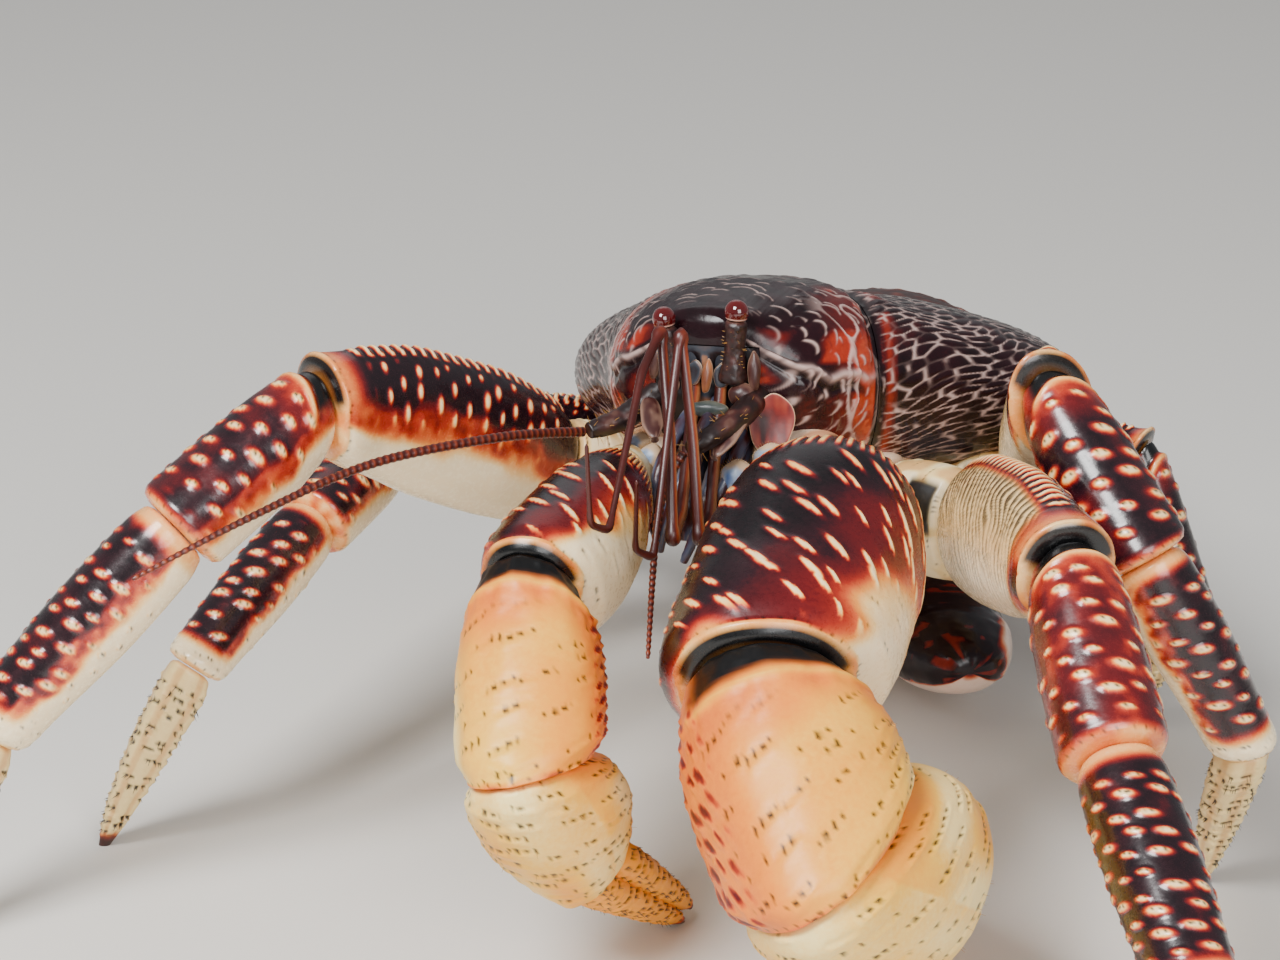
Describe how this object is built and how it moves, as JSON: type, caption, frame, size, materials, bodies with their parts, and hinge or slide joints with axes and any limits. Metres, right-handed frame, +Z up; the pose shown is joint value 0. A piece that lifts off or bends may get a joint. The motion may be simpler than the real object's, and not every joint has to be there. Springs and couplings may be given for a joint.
{
  "type": "coconut crab",
  "caption": "Life-size coconut crab standing still: domed four-part shell, curled soft abdomen, long walking legs, a large and a small claw, stalked eyes and feelers.",
  "frame": {"origin": "middle of the flat under the abdomen, on the floor", "axes": "+Z up, -Y the way the head faces, +X the crab's left"},
  "size_m": [0.3404, 0.3595, 0.145],
  "materials": {
    "carapace": "glossy dark horny shell with pale scale lines",
    "face": "bluish and cream horny plates",
    "thorax": "pale calcified shell",
    "abdomen": "dull horny plates",
    "skin": "leathery skin",
    "leg": "glossy dark red shell with pale tubercles",
    "leg_pale": "cream calcified shell with dark bristles",
    "claw_arm": "glossy dark red shell with pale streaks",
    "claw": "orange to cream calcified shell with dark pits",
    "eye": "wet dark red cornea",
    "stalk": "dark bristly horny shell",
    "feeler": "ringed dark red horn",
    "mouth": "blue and cream horny shell"
  },
  "bodies": {
    "root": {"shield": "carapace", "heart": "carapace", "lobe_left": "carapace", "lobe_right": "carapace", "face": "face", "thorax": "thorax", "abdomen_sac": "skin", "tail": "abdomen", "abdomen_plate_1": "abdomen", "abdomen_plate_2": "abdomen", "abdomen_plate_3": "abdomen", "abdomen_plate_4": "abdomen", "eye_left": "eye", "eyestalk_left": "stalk", "antenna_base_left": "stalk", "antenna_left": "feeler", "antennule_left": "feeler", "mouth_leg_left": "mouth", "claw_left_ischium": "claw_arm", "claw_left_merus": "claw_arm", "claw_left_carpus": "claw", "claw_left_palm": "claw", "claw_left_finger": "claw", "leg_1_left_ischium": "leg_pale", "leg_1_left_dactyl": "leg_pale", "leg_1_left_merus": "leg", "leg_1_left_carpus": "leg", "leg_1_left_propodus": "leg", "leg_2_left_ischium": "leg_pale", "leg_2_left_dactyl": "leg_pale", "leg_2_left_merus": "leg", "leg_2_left_carpus": "leg", "leg_2_left_propodus": "leg", "leg_3_left_merus": "leg", "leg_3_left_carpus": "leg", "leg_3_left_hand": "leg", "eye_right": "eye", "eyestalk_right": "stalk", "antenna_base_right": "stalk", "antenna_right": "feeler", "antennule_right": "feeler", "mouth_leg_right": "mouth", "claw_right_ischium": "claw_arm", "claw_right_merus": "claw_arm", "claw_right_carpus": "claw", "claw_right_palm": "claw", "claw_right_finger": "claw", "leg_1_right_ischium": "leg_pale", "leg_1_right_dactyl": "leg_pale", "leg_1_right_merus": "leg", "leg_1_right_carpus": "leg", "leg_1_right_propodus": "leg", "leg_2_right_ischium": "leg_pale", "leg_2_right_dactyl": "leg_pale", "leg_2_right_merus": "leg", "leg_2_right_carpus": "leg", "leg_2_right_propodus": "leg", "leg_3_right_merus": "leg", "leg_3_right_carpus": "leg", "leg_3_right_hand": "leg"}
  },
  "joints": []
}
